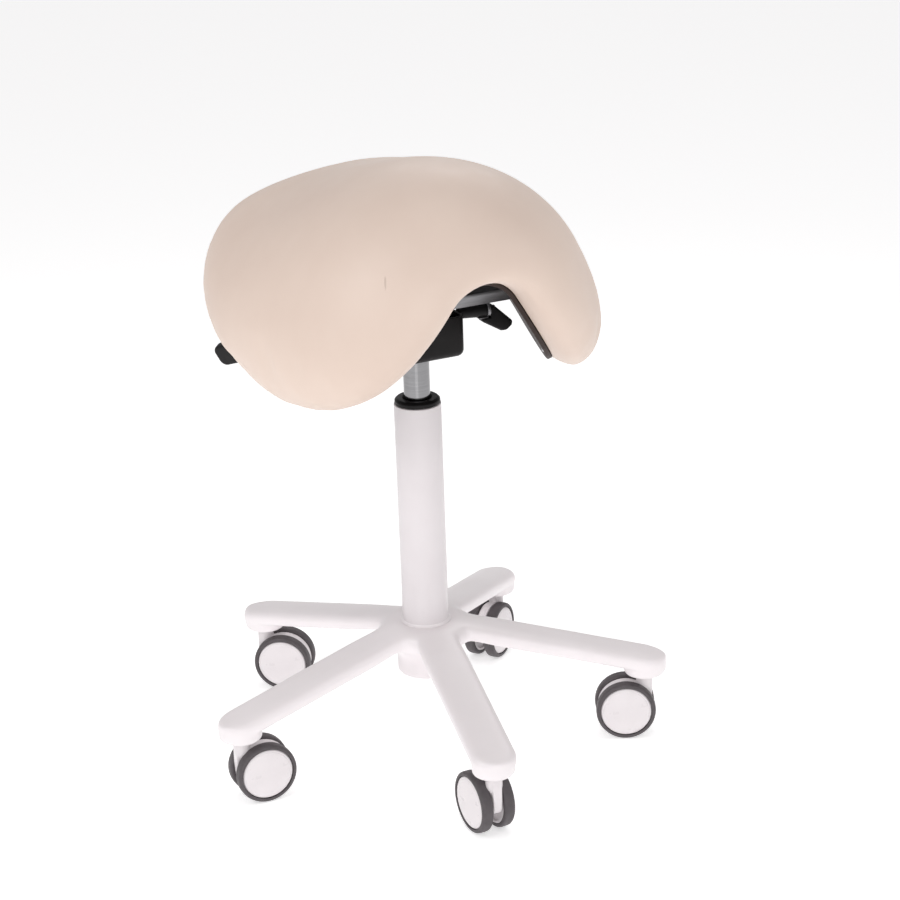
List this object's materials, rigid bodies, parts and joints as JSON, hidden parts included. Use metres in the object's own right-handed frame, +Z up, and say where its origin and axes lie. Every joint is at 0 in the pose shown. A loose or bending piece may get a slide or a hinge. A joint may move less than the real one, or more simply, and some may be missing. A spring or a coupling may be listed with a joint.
{
  "type": "saddle stool",
  "caption": "Saddle stool: padded seat on a dark shell, tilt mechanism with levers, gas lift in a white column, and a white star base on swivelling casters.",
  "frame": {"origin": "the floor, under the centre of the stool's bounding box; the column axis stands at x = 0.0113, y = 0.0116", "axes": "+Z up along the column; the saddle's narrow front faces -Y and its width runs along X"},
  "size_m": [0.4912, 0.4909, 0.6591],
  "materials": {
    "white_enamel": "smooth semi-gloss powder coat",
    "white_plastic": "smooth moulded",
    "black_plastic": "fine grain",
    "black_metal": "satin powder coat",
    "grey_metal": "bare sheet steel",
    "steel": "bright steel",
    "chrome": "polished",
    "rubber": "soft matt",
    "tyre": "matt dark grey",
    "leather": "smooth beige upholstery",
    "shell": "dark brown moulded"
  },
  "bodies": {
    "base": {"base_star": "white_enamel", "column_tube": "white_enamel", "column_guide_bush": "black_plastic", "column_base_plate": "steel", "thrust_bearing": "steel", "rubber_bumper": "rubber"},
    "rod": {"piston_rod": "steel", "rod_clip": "steel", "piston": "black_plastic"},
    "lift": {"gas_cylinder": "chrome", "rod_gland": "black_plastic", "mechanism_housing": "black_metal", "tilt_pin": "steel"},
    "valve": {"valve_pin": "steel"},
    "height_lever": {"height_lever": "steel", "height_lever_paddle": "black_plastic"},
    "tilt_lever": {"tilt_lever_shaft": "black_metal", "tilt_lever_paddle": "black_plastic"},
    "seat": {"seat_bracket": "grey_metal", "seat_shell": "shell", "seat_cushion": "leather", "seat_screw_1": "steel", "seat_screw_2": "steel", "seat_screw_3": "steel", "seat_screw_4": "steel"},
    "caster_1": {"caster_1_fork": "white_plastic", "caster_1_stem": "steel", "caster_1_axle": "steel"},
    "caster_1_wheel_l": {"caster_1_wheel_l": "white_plastic", "caster_1_tyre_l": "tyre"},
    "caster_1_wheel_r": {"caster_1_wheel_r": "white_plastic", "caster_1_tyre_r": "tyre"},
    "caster_2": {"caster_2_fork": "white_plastic", "caster_2_stem": "steel", "caster_2_axle": "steel"},
    "caster_2_wheel_l": {"caster_2_wheel_l": "white_plastic", "caster_2_tyre_l": "tyre"},
    "caster_2_wheel_r": {"caster_2_wheel_r": "white_plastic", "caster_2_tyre_r": "tyre"},
    "caster_3": {"caster_3_fork": "white_plastic", "caster_3_stem": "steel", "caster_3_axle": "steel"},
    "caster_3_wheel_l": {"caster_3_wheel_l": "white_plastic", "caster_3_tyre_l": "tyre"},
    "caster_3_wheel_r": {"caster_3_wheel_r": "white_plastic", "caster_3_tyre_r": "tyre"},
    "caster_4": {"caster_4_fork": "white_plastic", "caster_4_stem": "steel", "caster_4_axle": "steel"},
    "caster_4_wheel_l": {"caster_4_wheel_l": "white_plastic", "caster_4_tyre_l": "tyre"},
    "caster_4_wheel_r": {"caster_4_wheel_r": "white_plastic", "caster_4_tyre_r": "tyre"},
    "caster_5": {"caster_5_fork": "white_plastic", "caster_5_stem": "steel", "caster_5_axle": "steel"},
    "caster_5_wheel_l": {"caster_5_wheel_l": "white_plastic", "caster_5_tyre_l": "tyre"},
    "caster_5_wheel_r": {"caster_5_wheel_r": "white_plastic", "caster_5_tyre_r": "tyre"}
  },
  "joints": [
    {"name": "seat_swivel", "type": "hinge", "parent": "base", "child": "rod", "pos_m": [0.0113, 0.0116, 0.098], "axis": [0, 0, 1], "continuous": true},
    {"name": "height_slide", "type": "slide", "parent": "rod", "child": "lift", "axis": [0, 0, 1], "range_m": [-0.025, 0.165]},
    {"name": "seat_tilt", "type": "hinge", "parent": "lift", "child": "seat", "pos_m": [0.0113, 0.0356, 0.484], "axis": [1, 0, 0], "range_deg": [-4, 6]},
    {"name": "height_lever_pivot", "type": "hinge", "parent": "lift", "child": "height_lever", "pos_m": [-0.0197, 0.0116, 0.4876], "axis": [0, 1, 0], "range_deg": [0, 6], "stiffness_Nm_per_rad": 3, "springref_deg": -17.19},
    {"name": "valve_press", "type": "slide", "parent": "lift", "child": "valve", "axis": [0, 0, -1], "range_m": [0, 0.0036]},
    {"name": "tilt_lever_turn", "type": "hinge", "parent": "lift", "child": "tilt_lever", "pos_m": [0.0473, -0.0144, 0.488], "axis": [1, 0, 0], "range_deg": [0, 35]},
    {"name": "caster_1_swivel", "type": "hinge", "parent": "base", "child": "caster_1", "pos_m": [0.22185, -0.09522, 0.08], "axis": [0, 0, 1], "continuous": true},
    {"name": "caster_1_spin_l", "type": "hinge", "parent": "caster_1", "child": "caster_1_wheel_l", "pos_m": [0.20299, -0.08622, 0.0325], "axis": [-0.4305, -0.9026, 0], "continuous": true},
    {"name": "caster_1_spin_r", "type": "hinge", "parent": "caster_1", "child": "caster_1_wheel_r", "pos_m": [0.20299, -0.08622, 0.0325], "axis": [-0.4305, -0.9026, 0], "continuous": true},
    {"name": "caster_2_swivel", "type": "hinge", "parent": "base", "child": "caster_2", "pos_m": [0.17796, 0.17884, 0.08], "axis": [0, 0, 1], "continuous": true},
    {"name": "caster_2_spin_l", "type": "hinge", "parent": "caster_2", "child": "caster_2_wheel_l", "pos_m": [0.16167, 0.16574, 0.0325], "axis": [0.6266, -0.7793, 0], "continuous": true},
    {"name": "caster_2_spin_r", "type": "hinge", "parent": "caster_2", "child": "caster_2_wheel_r", "pos_m": [0.16167, 0.16574, 0.0325], "axis": [0.6266, -0.7793, 0], "continuous": true},
    {"name": "caster_3_swivel", "type": "hinge", "parent": "base", "child": "caster_3", "pos_m": [-0.09625, 0.22178, 0.08], "axis": [0, 0, 1], "continuous": true},
    {"name": "caster_3_spin_l", "type": "hinge", "parent": "caster_3", "child": "caster_3_wheel_l", "pos_m": [-0.07901, 0.20997, 0.0325], "axis": [0.565, 0.8251, 0], "continuous": true},
    {"name": "caster_3_spin_r", "type": "hinge", "parent": "caster_3", "child": "caster_3_wheel_r", "pos_m": [-0.07901, 0.20997, 0.0325], "axis": [0.565, 0.8251, 0], "continuous": true},
    {"name": "caster_4_swivel", "type": "hinge", "parent": "base", "child": "caster_4", "pos_m": [-0.22183, -0.02574, 0.08], "axis": [0, 0, 1], "continuous": true},
    {"name": "caster_4_spin_l", "type": "hinge", "parent": "caster_4", "child": "caster_4_wheel_l", "pos_m": [-0.20093, -0.02618, 0.0325], "axis": [0.0209, 0.9998, 0], "continuous": true},
    {"name": "caster_4_spin_r", "type": "hinge", "parent": "caster_4", "child": "caster_4_wheel_r", "pos_m": [-0.20093, -0.02618, 0.0325], "axis": [0.0209, 0.9998, 0], "continuous": true},
    {"name": "caster_5_swivel", "type": "hinge", "parent": "base", "child": "caster_5", "pos_m": [-0.02523, -0.22166, 0.08], "axis": [0, 0, 1], "continuous": true},
    {"name": "caster_5_spin_l", "type": "hinge", "parent": "caster_5", "child": "caster_5_wheel_l", "pos_m": [-0.02596, -0.20077, 0.0325], "axis": [-0.9994, -0.0349, 0], "continuous": true},
    {"name": "caster_5_spin_r", "type": "hinge", "parent": "caster_5", "child": "caster_5_wheel_r", "pos_m": [-0.02596, -0.20077, 0.0325], "axis": [-0.9994, -0.0349, 0], "continuous": true}
  ],
  "couplings": [
    {"joint": "valve_press", "follows": "height_lever_pivot", "m_per_rad": 0.033}
  ]
}
